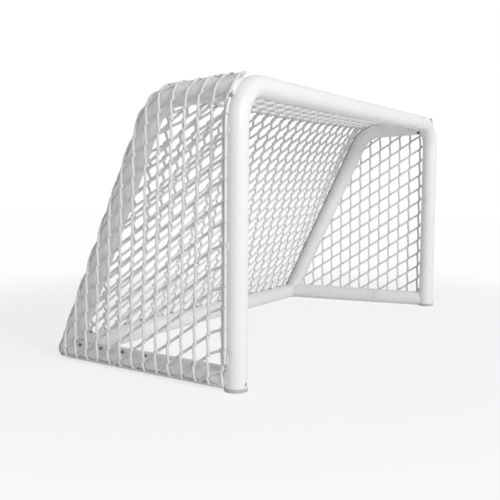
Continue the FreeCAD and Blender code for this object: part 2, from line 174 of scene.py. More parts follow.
class TubeMesh:
    """Gathers round strands of one radius and turns them into one mesh with a map along and around."""

    widening = 0.22

    def __init__(self, radius: float, sides: int = 8) -> None:
        """Starts with no strands."""
        self.radius = radius
        self.sides = sides
        self.points: list[Array] = []
        self.faces: list[tuple[int, ...]] = []
        self.map: list[tuple[float, float]] = []
        self.count = 0

    def add(self, path: Array, radius: float | None = None, press: Array | None = None) -> None:
        """Adds a strand.

        Args:
            path: The points of the strand's middle line.
            radius: The strand's radius, where it differs from the mesh's own.
            press: Vectors square to the surface under the strand, as long as the strand is pressed flat.
        """
        sides = self.sides
        first, second = ring_frames(path)
        angles = (2 * math.pi * np.arange(sides) / sides)[:, None]
        ring = np.cos(angles) * first[:, None] + np.sin(angles) * second[:, None]
        if press is not None:
            amount = np.linalg.norm(press, axis=1)[:, None]
            outward = press / np.maximum(amount, 1e-9)
            height = np.einsum("nsk,nk->ns", ring, outward)
            ring = ring - (amount * height)[..., None] * outward[:, None]
            ring = ring * (1 + self.widening * amount[..., None])
        self.points.append((path[:, None] + (radius or self.radius) * ring).reshape(-1, 3))
        lengths = distances(path)
        last = len(path) - 1
        for row in range(last):
            for side in range(sides):
                corners = ((row, side), (row, side + 1), (row + 1, side + 1), (row + 1, side))
                self.faces.append(tuple(self.count + at * sides + turn % sides for at, turn in corners))
                self.map += [(lengths[at], turn / sides) for at, turn in corners]
        for row, way in ((0, -1), (last, 1)):
            end = self.count + row * sides
            self.faces.append(tuple(range(end, end + sides))[::way])
            self.map += [(lengths[row], side / sides) for side in range(sides)]
        self.count += len(path) * sides

    def build(self, name: str, material: Material, slot: Slot, *nodes: str) -> None:
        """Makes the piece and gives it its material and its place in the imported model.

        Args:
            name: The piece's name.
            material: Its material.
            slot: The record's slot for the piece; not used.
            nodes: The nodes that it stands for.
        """
        mesh = bpy.data.meshes.new(name)
        mesh.from_pydata(np.vstack(self.points).tolist(), [], self.faces)
        layer = mesh.uv_layers.new(name="strand")
        layer.data.foreach_set("uv", np.array(self.map, dtype=np.float32).ravel())
        mesh.polygons.foreach_set("use_smooth", np.ones(len(mesh.polygons), dtype=bool))
        mesh.update()
        mesh.materials.append(material)
        made = bpy.data.objects.new(name, mesh)
        bpy.context.collection.objects.link(made)
        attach(made, "root")
        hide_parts(*nodes)
        LOG.info("%s: %d faces", made.name, len(mesh.polygons))


# Shader nodes


class NodeSheet:
    """Adds nodes to one shader tree and links them."""

    def __init__(self, tree: NodeTree) -> None:
        """Keeps the tree to work on."""
        self.tree = tree

    def add(self, kind: str, settings: dict[str, object] | None = None, **values: object) -> Node:
        """Adds a node.

        Args:
            kind: The node's type name.
            settings: The node's own settings by name.
            values: Input values by input name, with spaces written as underscores.

        Returns:
            The new node.
        """
        node = self.tree.nodes.new(kind)
        for key, value in (settings or {}).items():
            setattr(node, key, value)
        for key, value in values.items():
            node.inputs[key.replace("_", " ")].default_value = value
        return node

    def link(self, source: Socket, target: Socket) -> None:
        """Links an output to an input."""
        self.tree.links.new(source, target)

    def put(self, value: object, target: Socket) -> None:
        """Links a socket to an input, or sets the input to a number or a colour."""
        if isinstance(value, Socket):
            self.link(value, target)
        else:
            target.default_value = (*value, 1.0) if isinstance(value, tuple) else value

    def math(self, operation: str, first: object, second: object = 0.0, clamp: bool = False) -> Socket:
        """The result of a maths node on two sockets or numbers, held between 0 and 1 where clamp is set."""
        node = self.add("ShaderNodeMath", {"operation": operation, "use_clamp": clamp})
        self.put(first, node.inputs[0])
        self.put(second, node.inputs[1])
        return node.outputs[0]

    def blend(self, share: Socket, low: object, high: object) -> Socket:
        """The colour between two colours or sockets, from the low one to the high one by the share."""
        node = self.add("ShaderNodeMix", {"data_type": "RGBA"})
        self.link(share, node.inputs["Factor"])
        self.put(low, node.inputs[6])
        self.put(high, node.inputs[7])
        return node.outputs[2]

    def noise(self, vector: Socket, scale: object, detail: float, rough: float) -> Socket:
        """A noise pattern's value, by its scale, its number of finer layers and their strength."""
        node = self.add("ShaderNodeTexNoise", Detail=detail, Roughness=rough)
        self.link(vector, node.inputs["Vector"])
        self.put(scale, node.inputs["Scale"])
        return node.outputs[0]

    def place(self) -> Socket:
        """Where the shaded point lies on its object."""
        return self.add("ShaderNodeTexCoord").outputs["Object"]

    def axis(self, vector: Socket, name: str) -> Socket:
        """One axis of a vector."""
        split = self.add("ShaderNodeSeparateXYZ")
        self.link(vector, split.inputs[0])
        return split.outputs[name]

    def group(self, tree: NodeTree, **values: float) -> Sockets:
        """The outputs of a shared group, placed here with its own input values."""
        return self.add("ShaderNodeGroup", {"node_tree": tree}, **values).outputs


class EffectLibrary:
    """The shader groups that several finishes share."""

    def __init__(self) -> None:
        """Builds each group once."""
        self.peel = self._peel()
        self.dust = self._dust()
        self.scuff = self._scuff()
        self.plait = self._plait()

    @staticmethod
    def _group(
        name: str, inputs: dict[str, float], outputs: tuple[str, ...]
    ) -> tuple[NodeSheet, Sockets, Sockets]:
        """Starts a group.

        Args:
            name: The group's name.
            inputs: Its inputs and their usual values.
            outputs: Its outputs.

        Returns:
            The sheet of the group's tree, the sockets that it is given and the sockets that it returns.
        """
        tree = bpy.data.node_groups.new(name, "ShaderNodeTree")
        for label, value in inputs.items():
            socket = tree.interface.new_socket(label, in_out="INPUT", socket_type="NodeSocketFloat")
            socket.default_value = value
        for label in outputs:
            tree.interface.new_socket(label, in_out="OUTPUT", socket_type="NodeSocketFloat")
        sheet = NodeSheet(tree)
        return sheet, sheet.add("NodeGroupInput").outputs, sheet.add("NodeGroupOutput").inputs

    def _peel(self) -> NodeTree:
        """The fine waves of sprayed and baked paint, and its slow change in tone."""
        usual = {"Wave Scale": 420.0, "Tone Scale": 9.0}
        sheet, given, result = self._group("paint_waves", usual, ("Height", "Tone"))
        place = sheet.place()
        sheet.link(sheet.noise(place, given["Wave Scale"], 2.0, 0.45), result["Height"])
        sheet.link(sheet.noise(place, given["Tone Scale"], 3.0, 0.55), result["Tone"])
        return sheet.tree

    def _dust(self) -> NodeTree:
        """Grime that gathers near the floor."""
        sheet, given, result = self._group("floor_grime", {"Rise": 0.05, "Strength": 0.5}, ("Mask",))
        place = sheet.place()
        height = sheet.math("DIVIDE", sheet.axis(place, "Z"), given["Rise"])
        low = sheet.math("SUBTRACT", 1.0, height, clamp=True)
        uneven = sheet.math("MULTIPLY", low, sheet.noise(place, 38.0, 4.0, 0.6))
        sheet.link(sheet.math("MULTIPLY", uneven, given["Strength"], clamp=True), result["Mask"])
        return sheet.tree

    def _scuff(self) -> NodeTree:
        """Short rubbed marks where the goal has been handled."""
        sheet, given, result = self._group("rubbed_marks", {"Mark Scale": 60.0, "Amount": 0.3}, ("Mask",))
        place = sheet.place()
        stretch = sheet.add("ShaderNodeMapping", Scale=(1.0, 1.0, 0.25))
        sheet.link(place, stretch.inputs["Vector"])
        fine = sheet.noise(stretch.outputs[0], given["Mark Scale"], 5.0, 0.7)
        both = sheet.math("MULTIPLY", fine, sheet.noise(place, 6.0, 2.0, 0.5))
        sharp = sheet.math("MULTIPLY", sheet.math("SUBTRACT", both, 0.33), 14.0, clamp=True)
        sheet.link(sheet.math("MULTIPLY", sharp, given["Amount"], clamp=True), result["Mask"])
        return sheet.tree

    def _plait(self) -> NodeTree:
        """The crossing yarns of plaited twine, read along and around a strand, and a mask of painted shade
        in the grooves between them.
        """
        usual = {"Turns": 140.0, "Yarns": 4.0}
        sheet, given, result = self._group("plaited_yarn", usual, ("Height", "Groove Shade"))
        place = sheet.add("ShaderNodeUVMap", {"uv_map": "strand"}).outputs["UV"]
        along = sheet.math("MULTIPLY", sheet.axis(place, "X"), given["Turns"])
        around = sheet.math("MULTIPLY", sheet.axis(place, "Y"), given["Yarns"])
        waves = []
        for operation in ("ADD", "SUBTRACT"):
            phase = sheet.math("MULTIPLY", sheet.math(operation, along, around), 2 * math.pi)
            waves.append(sheet.math("ABSOLUTE", sheet.math("SINE", phase)))
        height = sheet.math("MAXIMUM", *waves)
        # Painted shade: the grooves between the yarns, as a mask that darkens the twine's colour there.
        groove_shade = sheet.math("SUBTRACT", 1.0, height, clamp=True)
        sheet.link(height, result["Height"])
        sheet.link(sheet.math("MULTIPLY", groove_shade, 2.2, clamp=True), result["Groove Shade"])
        return sheet.tree


@dataclass(frozen=True)
class Layer:
    """Marks or grime over a surface: their scale or rise, their strength and their colour."""

    scale: float
    strength: float
    colour: Colour


@dataclass(frozen=True)
class Finish:
    """A surface with a fine relief and a slow change in tone, and with any marks and grime."""

    name: str
    main: Colour
    # For twine, deep is the colour of painted shade in the grooves between the yarns.
    deep: Colour
    roughness: float
    wave_scale: float
    tone_scale: float
    depth: float
    marks: Layer | None = None
    grime: Layer | None = None
    metal: float = 0.0
    rubbed: float = 0.0

    def surface(self, sheet: NodeSheet, effects: EffectLibrary, fine: Sockets) -> tuple[Socket, Socket]:
        """The surface before marks and grime.

        Args:
            sheet: The material's sheet.
            effects: The shared effects.
            fine: The fine waves' outputs.

        Returns:
            The colour's and the relief's socket.
        """
        return sheet.blend(fine["Tone"], self.deep, self.main), fine["Height"]

    def build(self, effects: EffectLibrary) -> Material:
        """The finished material."""
        material = bpy.data.materials.new(self.name)
        material.use_nodes = True
        material.diffuse_color = (*self.main, 1.0)
        sheet = NodeSheet(material.node_tree)
        shader = material.node_tree.nodes["Principled BSDF"]
        shader.inputs["Roughness"].default_value = self.roughness
        shader.inputs["Metallic"].default_value = self.metal
        fine = sheet.group(effects.peel, Wave_Scale=self.wave_scale, Tone_Scale=self.tone_scale)
        colour, height = self.surface(sheet, effects, fine)
        if self.marks:
            marks = self.marks
            mask = sheet.group(effects.scuff, Mark_Scale=marks.scale, Amount=marks.strength)["Mask"]
            colour = sheet.blend(mask, colour, marks.colour)
            if self.rubbed:
                worn = sheet.math("MULTIPLY", mask, self.rubbed)
                sheet.link(sheet.math("ADD", worn, self.roughness, clamp=True), shader.inputs["Roughness"])
        if self.grime:
            mask = sheet.group(effects.dust, Rise=self.grime.scale, Strength=self.grime.strength)["Mask"]
            colour = sheet.blend(mask, colour, self.grime.colour)
        sheet.link(colour, shader.inputs["Base Color"])
        bump = sheet.add("ShaderNodeBump", Strength=1.0, Distance=self.depth)
        sheet.link(height, bump.inputs["Height"])
        sheet.link(bump.outputs[0], shader.inputs["Normal"])
        return material


@dataclass(frozen=True)
class PaintFinish(Finish):
    """Baked paint on steel, with fine waves, rubbed marks and grime low down."""

    wave_scale: float = 420.0
    tone_scale: float = 9.0
    depth: float = 0.00012
    marks: Layer = Layer(60.0, 0.25, (0.42, 0.42, 0.41))
    grime: Layer = Layer(0.05, 0.15, (0.45, 0.44, 0.42))
    rubbed: float = 0.3


@dataclass(frozen=True)
class WeldFinish(Finish):
    """Paint over a weld bead, with the bead's ripples under it."""

    wave_scale: float = 260.0
    tone_scale: float = 60.0
    depth: float = 0.0007
    ripple_scale: float = 90.0
    ripple_share: float = 0.6

    def surface(self, sheet: NodeSheet, effects: EffectLibrary, fine: Sockets) -> tuple[Socket, Socket]:
        """The paint's colour, and its waves over the bead's ripples, as in Finish."""
        rings = {"wave_type": "RINGS", "rings_direction": "SPHERICAL"}
        ripples = sheet.add("ShaderNodeTexWave", rings, Scale=self.ripple_scale, Distortion=1.5)
        sheet.link(sheet.place(), ripples.inputs["Vector"])
        bead = sheet.math("MULTIPLY", ripples.outputs["Fac"], self.ripple_share)
        return sheet.blend(fine["Tone"], self.deep, self.main), sheet.math("ADD", bead, fine["Height"])


@dataclass(frozen=True)
class TwineFinish(Finish):
    """White plaited twine, with painted shade in the grooves between its yarns and a soft sheen."""

    wave_scale: float = 1800.0
    tone_scale: float = 14.0
    depth: float = 0.0005
    grime: Layer = Layer(0.06, 0.2, (0.5, 0.48, 0.45))
    turns: float = 140.0
    yarns: float = 4.0
    dimming: float = 0.94
    fuzz: float = 0.35

    def surface(self, sheet: NodeSheet, effects: EffectLibrary, fine: Sockets) -> tuple[Socket, Socket]:
        """The twine's colour with painted shade in its grooves, and the yarns under its fuzz, as in Finish.
        """
        plait = sheet.group(effects.plait, Turns=self.turns, Yarns=self.yarns)
        toned = sheet.blend(fine["Tone"], tuple(self.dimming * part for part in self.main), self.main)
        fuzz = sheet.math("MULTIPLY", fine["Height"], self.fuzz)
        # Painted shade: the grooves between the yarns take the deep colour.
        return sheet.blend(plait["Groove Shade"], toned, self.deep), sheet.math("ADD", plait["Height"], fuzz)

    def build(self, effects: EffectLibrary) -> Material:
        """The finished material, with the twine's soft sheen."""
        material = super().build(effects)
        shader = material.node_tree.nodes["Principled BSDF"]
        for name, value in (("Sheen Weight", 0.3), ("Sheen Roughness", 0.5), ("Specular IOR Level", 0.3)):
            shader.inputs[name].default_value = value
        return material


class FinishBox:
    """The materials of the whole goal, each built once."""

    def __init__(self) -> None:
        """Builds the shared effects and every material."""
        effects = EffectLibrary()
        self.tube = PaintFinish("tube_paint", (0.86, 0.86, 0.86), (0.81, 0.81, 0.815), 0.32).build(effects)
        self.rod = PaintFinish(
            "rod_paint", (0.82, 0.825, 0.83), (0.74, 0.745, 0.75), 0.38, wave_scale=700.0
        ).build(effects)
        self.weld = WeldFinish("weld_paint", (0.80, 0.805, 0.81), (0.66, 0.665, 0.67), 0.42).build(effects)
        self.cap = Finish(
            "cap_plastic",
            (0.66, 0.66, 0.65),
            (0.55, 0.55, 0.54),
            0.55,
            wave_scale=900.0,
            tone_scale=25.0,
            depth=0.00015,
            marks=Layer(140.0, 0.5, (0.35, 0.35, 0.34)),
            grime=Layer(0.02, 1.0, (0.3, 0.29, 0.27)),
        ).build(effects)
        self.peg = Finish(
            "peg_metal",
            (0.27, 0.26, 0.25),
            (0.17, 0.165, 0.16),
            0.5,
            wave_scale=1500.0,
            tone_scale=320.0,
            depth=0.0001,
            marks=Layer(500.0, 0.8, (0.05, 0.045, 0.04)),
            metal=0.75,
        ).build(effects)
        # The second colour of the twine and the cord is painted shade in the grooves between their yarns.
        self.twine = TwineFinish("net_twine", (0.89, 0.89, 0.885), (0.68, 0.68, 0.67), 0.7).build(effects)
        self.cord = TwineFinish(
            "border_cord",
            (0.86, 0.86, 0.85),
            (0.60, 0.60, 0.59),
            0.75,
            grime=Layer(0.06, 0.4, (0.5, 0.48, 0.45)),
            turns=110.0,
            yarns=3.0,
        ).build(effects)


# The frame's lines


@dataclass(frozen=True)
class GoalPlan:
    """Sizes and centrelines of the frame in metres, with the posts at y = 0 and the right side at +x."""

    post_y: float
    tube_radius: float = 0.0212
    twine_radius: float = 0.0028
    half_width: float = 0.590
    height: float = 0.560
    corner_radius: float = 0.077
    depth: float = 0.445
    toe_in: float = 0.0516
    lean_in: float = 0.0125
    stay_front_height: float = 0.554
    stay_corner_depth: float = 0.199
    stay_corner_height: float = 0.5425
    bend_radius: float = 0.080
    rod_radius: float = 0.003
    rod_outward: float = 0.02145
    rod_rearward: float = 0.01121
    top_rod_upward: float = 0.01619
    top_rod_rearward: float = 0.01798
    rod_hold: float = 0.8

    @property
    def net_offset(self) -> float:
        """How far a net's middle lies from the axis of the tube under it."""
        return self.tube_radius + self.twine_radius

    @property
    def front_line(self) -> float:
        """How far behind the posts' axis the side nets' front edges lie, snug behind the rod."""
        return self.rod_rearward + self.rod_hold * (self.rod_radius + self.twine_radius)

    @property
    def top_front_line(self) -> float:
        """How far behind the posts' axis the top net's front edge lies."""
        return self.top_rod_rearward + self.rod_radius + self.twine_radius

    def side_point(self, y: float, z: float) -> Array:
        """A point of the plane in which the right base rail and stay lie."""
        toe = self.toe_in * y / self.depth
        lean = self.lean_in * (z - self.tube_radius) / (self.stay_corner_height - self.tube_radius)
        return np.array([self.half_width - toe - lean, y, z])

    def stay_points(self) -> list[Array]:
        """The front end, the corner and the rear end of the right stay's axis."""
        places = ((0.0, self.stay_front_height), (self.stay_corner_depth, self.stay_corner_height))
        return [self.side_point(y, z) for y, z in (*places, (self.depth, self.tube_radius))]

    def rod_x(self, z: Array) -> Array:
        """How far out the post's rod lies at a height, also where it follows the corner bend."""
        centre = self.half_width - self.corner_radius
        start = self.height - self.corner_radius
        reach = self.corner_radius + self.rod_outward
        rise = np.clip(z - start, 0.0, reach * 0.95)
        return centre + np.sqrt(reach * reach - rise * rise)

    def packed(self, points: Array, side: Side = Side.RIGHT) -> Array:
        """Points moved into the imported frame, and mirrored for the left side."""
        return self.turned(points, side) + np.array([0.0, self.post_y, 0.0])

    @staticmethod
    def turned(vectors: Array, side: Side = Side.RIGHT) -> Array:
        """Vectors mirrored for the left side."""
        return vectors * np.array([side.value, 1.0, 1.0])


# The net's sheets


@dataclass(frozen=True)
class Joint:
    """How two yarns pass each other at a knot, in metres.

    The yarns twist round each other once. The first step's yarn lies outside the second step's.
    """

    far: float
    near: float
    lean: float
    spread: float
    first_lift: float
    second_lift: float

    def bends(self) -> tuple[list[tuple[float, float, float]], list[tuple[float, float, float]]]:
        """The bends of the yarn that turns away and of the yarn that goes on, along, across and up."""
        middle_lift = 0.75 * self.first_lift + 0.25 * self.second_lift
        turning = [
            (-self.far, -self.lean, self.first_lift),
            (0.0, -self.spread, middle_lift),
            (self.near, 0.45 * self.spread, self.second_lift),
        ]
        return turning, [(-along, -across, lift) for along, across, lift in reversed(turning)]


@dataclass(frozen=True)
class MeshPattern:
    """A net's pattern in its flat sheet: where one knot lies and the two steps from knot to knot."""

    knot: tuple[float, float]
    first_step: tuple[float, float]
    second_step: tuple[float, float]
    joint: Joint
    margin: float = 0.06
    point_spacing: float = 0.0045

    def yarns(self, box: Box) -> list[Array]:
        """The yarns that cross a box of the sheet, each a smooth line of places and lifts.

        Args:
            box: The box's lowest and highest corner.

        Returns:
            One array for each yarn, with its place in the sheet and its lift in each row.
        """
        steps = np.array([self.first_step, self.second_step]).T
        low, high = np.array(box)
        corners = np.array([[x, y] for x in (low[0], high[0]) for y in (low[1], high[1])])
        counts = np.linalg.solve(steps, (corners - np.array(self.knot)).T)
        start = np.floor(counts.min(axis=1)).astype(int) - 1
        end = np.ceil(counts.max(axis=1)).astype(int) + 1
        one, other = unit(steps[:, 0]), unit(steps[:, 1])
        ways = np.array([unit(one + other), unit(other - one)])
        turning, straight = self.joint.bends()
        result = []
        for shift in range(start[0] - end[1], end[0] - start[1] + 1):
            rows = []
            for first in range(start[0], end[0] + 1):
                second = first - shift
                for knot, bends in (((first, second), straight), ((first + 1, second), turning)):
                    middle = np.array(self.knot) + steps @ knot
                    if np.all(middle > low - self.margin) and np.all(middle < high + self.margin):
                        rows += [[*(middle + bend[:2] @ ways), bend[2]] for bend in bends]
            if len(rows) > 3:
                result.append(smooth_line(np.array(rows), self.point_spacing))
        return result


class Bend:
    """A stay's bend in a plane, with the rail before it and the slope after it."""

    def __init__(self, front: Array, corner: Array, rear: Array, radius: float) -> None:
        """Works out the bend's middle and its turn from the stay's two ends and its corner."""
        self.rail = unit(corner - front)
        self.slope = unit(rear - corner)
        self.rail_up = np.array([-self.rail[1], self.rail[0]])
        self.slope_out = np.array([-self.slope[1], self.slope[0]])
        self.turn = math.acos(self.rail.dot(self.slope))
        self.centre = corner - radius * (self.rail * math.tan(self.turn / 2) + self.rail_up)

    def arc(self, reach: float, first: float, last: float, count: int) -> Array:
        """Points at a distance from the bend's middle, between two angles from the rail's upper side."""
        angles = np.linspace(first, last, count)[:, None]
        return self.centre + reach * (self.rail_up * np.cos(angles) + self.rail * np.sin(angles))


class NetSheet:
    """A net as a flat sheet that is laid over the tubes; each kind says where a place of it goes."""

    box: Box
    shortest = 0.006
    loop_thickness = 0.0014
    press_depth = 0.15
    pressed_gap = 0.0026
    pressed_lift = 0.25

    def __init__(self, plan: GoalPlan) -> None:
        """Keeps the frame's plan."""
        self.plan = plan

    def place(self, flat: Array, lift: Array, press: float = 1.0) -> tuple[Array, Array]:
        """Where places of the flat sheet lie on the goal.

        Args:
            flat: Places in the flat sheet, one in each row.
            lift: How far each lies above the net's middle.
            press: How flat twine is pressed where it goes round a tube.

        Returns:
            The places on the goal, and for each the pressing vector, square to the surface.
        """
        raise NotImplementedError

    def outside(self, flat: Array) -> Array:
        """How far places of the flat sheet lie outside the net's border, less than 0 inside it."""
        raise NotImplementedError

    def warped(self, flat: Array) -> Array:
        """Places of the pattern after the net's own uneven stretch."""
        raise NotImplementedError

    def squeezed(self, lift: Array, share: Array) -> Array:
        """How far twine's middle lies from a tube's axis, where it is pressed flat by a share."""
        free = self.plan.net_offset + lift
        tight = self.plan.tube_radius + self.pressed_gap + self.pressed_lift * lift
        return free + (tight - free) * share

    def knitted(self, pattern: MeshPattern, loops: list[Array], side: Side = Side.RIGHT) -> TubeMesh:
        """The net's strands on the goal, cut at its border, and its turns round the rod.

        Args:
            pattern: The net's pattern.
            loops: The lines of the turns.
            side: The side of the goal that it is for.

        Returns:
            The mesh, not yet built.
        """
        net = TubeMesh(self.plan.twine_radius)
        for yarn in pattern.yarns(self.box):
            flat = self.warped(yarn[:, :2])
            depth = self.outside(flat)
            whole = np.column_stack([flat, yarn[:, 2]])
            run: list[Array] = []
            for index, spot in enumerate(whole):
                within = depth[index] <= 0
                if index and within != (depth[index - 1] <= 0):
                    share = depth[index - 1] / (depth[index - 1] - depth[index])
                    run.append(whole[index - 1] + (spot - whole[index - 1]) * share)
                if within:
                    run.append(spot)
                if run and (not within or index == len(whole) - 1):
                    self._lay(net, np.array(run), side)
                    run = []
        for loop in loops:
            net.add(self.plan.packed(loop, side), self.loop_thickness)
        return net

    def _lay(self, net: TubeMesh, run: Array, side: Side) -> None:
        """Adds a run of yarn to the net, unless it is only a stub."""
        if len(run) > 2 and distances(run[:, :2])[-1] > self.shortest:
            strand, press = self.place(run[:, :2], run[:, 2])
            net.add(self.plan.packed(strand, side), press=self.plan.turned(press, side))


@dataclass(frozen=True)
class SideStretch:
    """How a side net's pattern is pulled where its first columns meet the rod."""

    second_column: float
    first_column: float
    drop: float


class SideSheet(NetSheet):
    """A side net: flat between the tubes, wrapped round the stay above it and the base rail below."""

    box = ((0.0, -0.06), (0.50, 0.60))
    hem_turn = math.radians(31.0)
    arc_points = 25
    trim = 0.0045
    front_overlap = 0.004
    border_end = 0.014
    border_step = 0.006
    corner_points = 14
    base_points = 24
    fence_rise = 0.058
    press_start = 0.35
    press_past = 0.018
    press_before = 0.012
    rod_zone = (0.046, 0.030)
    rod_fade = (0.540, 0.02)
    rod_hug = 0.56
    rod_lift = 0.3
    rod_pull = (-0.008, 0.02)
    rail_lean = 0.0115
    rail_zone = (0.175, 0.070)
    corner_lean = 0.0085
    corner_zone = (0.042, 0.022)
    lean_height = (0.522, 0.052)

    def __init__(self, plan: GoalPlan, stretch: SideStretch) -> None:
        """Works out the side's plane and the line of its tubes in that plane."""
        super().__init__(plan)
        self.stretch = stretch
        self.foot = plan.side_point(0.0, plan.tube_radius)
        points = plan.stay_points()
        self.along = unit(points[2] - self.foot)
        self.out = unit(np.cross(self.along, points[1] - self.foot))
        self.up = np.cross(self.out, self.along)
        plane = np.array([self.along, self.up])
        self.front, corner, self.rear = (plane @ (point - self.foot) for point in points)
        self.bend = Bend(self.front, corner, self.rear, plan.bend_radius)
        arc = self.bend.arc(plan.bend_radius, 0.0, self.bend.turn, self.arc_points)
        start = self.front - self.bend.rail * self.front_overlap
        self.line = np.vstack([[start], arc, [self.rear, (0.0, 0.0)]])

    def nearest(self, flat: Array) -> tuple[Array, Array, Array, Array]:
        """Where places lie by the tubes' line.

        Args:
            flat: Places in the flat sheet.

        Returns:
            The nearest places on the line, the directions from them, the distances, and what lies outside.
        """
        start = self.line[:-1]
        run = np.diff(self.line, axis=0)
        share = np.einsum("nmk,mk->nm", flat[:, None] - start, run) / np.einsum("mk,mk->m", run, run)
        close = start + np.clip(share, 0.0, 1.0)[..., None] * run
        gaps = np.linalg.norm(flat[:, None] - close, axis=2)
        rows = np.arange(len(flat))
        best = gaps.argmin(axis=1)
        close, gap = close[rows, best], gaps[rows, best]
        first = np.vstack([[(-1.0, self.front[1] + self.fence_rise)], start, [(-1.0, 0.0)]])
        second = np.roll(first, -1, axis=0)
        spans = (first[:, 1] > flat[:, None, 1]) != (second[:, 1] > flat[:, None, 1])
        rise = second[:, 1] - first[:, 1]
        rise = np.where(np.abs(rise) < 1e-12, 1e-12, rise)
        cross = first[:, 0] + (flat[:, None, 1] - first[:, 1]) * (second[:, 0] - first[:, 0]) / rise
        beyond = (np.sum(spans & (flat[:, None, 0] < cross), axis=1) % 2) == 0
        return close, (flat - close) / np.maximum(gap, 1e-9)[:, None], gap, beyond

    def _allowed(self, outward: Array) -> Array:
        """How far the net may reach past the tubes' line, by the direction in which it leaves it."""
        normal = self.bend.slope_out
        start = math.atan2(normal[1], normal[0])
        turn = start - np.arctan2(outward[:, 1], outward[:, 0])
        share = np.clip(turn / (start + math.pi / 2), 0.0, 1.0)
        share = np.where(outward[:, 1] > normal[1], 0.0, share)
        return self.plan.net_offset * (math.pi / 2 + (self.hem_turn - math.pi / 2) * ease(share))

    def outside(self, flat: Array) -> Array:
        """How far places lie outside the net's border: the seam, the hem and the front edge."""
        _, outward, gap, beyond = self.nearest(flat)
        past = np.where(beyond, gap - self._allowed(outward), -gap)
        return np.maximum(past, self.plan.front_line - self.trim - flat[:, 0])

    def warped(self, flat: Array) -> Array:
        """Places after the first column has moved to the rod."""
        first, second = self.stretch.first_column, self.stretch.second_column
        front = self.plan.front_line
        share = (flat[:, 0] - first) / (second - first)
        x = np.where(share < 1.0, front + share * (second - front), flat[:, 0])
        return np.column_stack([x, flat[:, 1] + self.stretch.drop * ease(1.0 - share)])

    def place(self, flat: Array, lift: Array, press: float = 1.0) -> tuple[Array, Array]:
        """Where places lie: on the side's plane, or round the tube that they reach past, as in NetSheet."""
        close, outward, gap, beyond = self.nearest(flat)
        turn = np.where(beyond, gap / self.plan.net_offset, 0.0)[:, None]
        base = np.where(beyond[:, None], close, flat)
        middle = self.foot + base[:, :1] * self.along + base[:, 1:] * self.up
        away = outward[:, :1] * self.along + outward[:, 1:] * self.up
        reached = np.where(beyond, gap / self.press_past, -gap / self.press_before)
        share = press * ease(self.press_start + reached)
        square = np.cos(turn) * self.out + np.sin(turn) * away
        laid = middle + self.squeezed(lift, share)[:, None] * square
        nearness = ease((self.rod_zone[0] - laid[:, 1]) / self.rod_zone[1])
        fade = np.clip((self.rod_fade[0] - laid[:, 2]) / self.rod_fade[1], 0.0, 1.0)
        snug = self.plan.rod_x(laid[:, 2]) - self.rod_hug * (self.plan.rod_radius + self.plan.twine_radius)
        pull = np.clip(snug - laid[:, 0] + lift * self.rod_lift, *self.rod_pull)
        laid[:, 0] += pull * nearness * fade
        lean = self.rail_lean * ease((self.rail_zone[0] - laid[:, 1]) / self.rail_zone[1])
        lean += self.corner_lean * ease((self.corner_zone[0] - laid[:, 1]) / self.corner_zone[1])
        laid[:, 1] -= lean * ease((laid[:, 2] - self.lean_height[0]) / self.lean_height[1])
        return laid, square * (self.press_depth * share)[:, None]

    def border(self) -> Array:
        """The net's border: back along the stay, round the rear corner and forward along the base."""
        line = self.line[:-1]
        run = np.gradient(line, axis=0)
        run /= np.linalg.norm(run, axis=1)[:, None]
        side = np.column_stack([-run[:, 1], run[:, 0]])
        turns = np.linspace(math.atan2(side[-1, 1], side[-1, 0]), -math.pi / 2, self.corner_points)[1:]
        corner = np.column_stack([np.cos(turns), np.sin(turns)])
        base = np.linspace(self.rear, (0.0, 0.0), self.base_points)[1:]
        middle = np.vstack([line, np.tile(self.rear, (len(corner), 1)), base])
        outward = np.vstack([side, corner, np.tile([0.0, -1.0], (len(base), 1))])
        fine = smooth_line(middle + self._allowed(outward)[:, None] * outward, self.border_step)
        seam_start = self.plan.front_line - self.trim
        hem_end = self.plan.rod_rearward + self.border_end
        fine = fine[fine[:, 0] > np.where(fine[:, 1] > self.front[1], seam_start, hem_end)]
        return self.place(fine, np.zeros(len(fine)), press=0.0)[0]


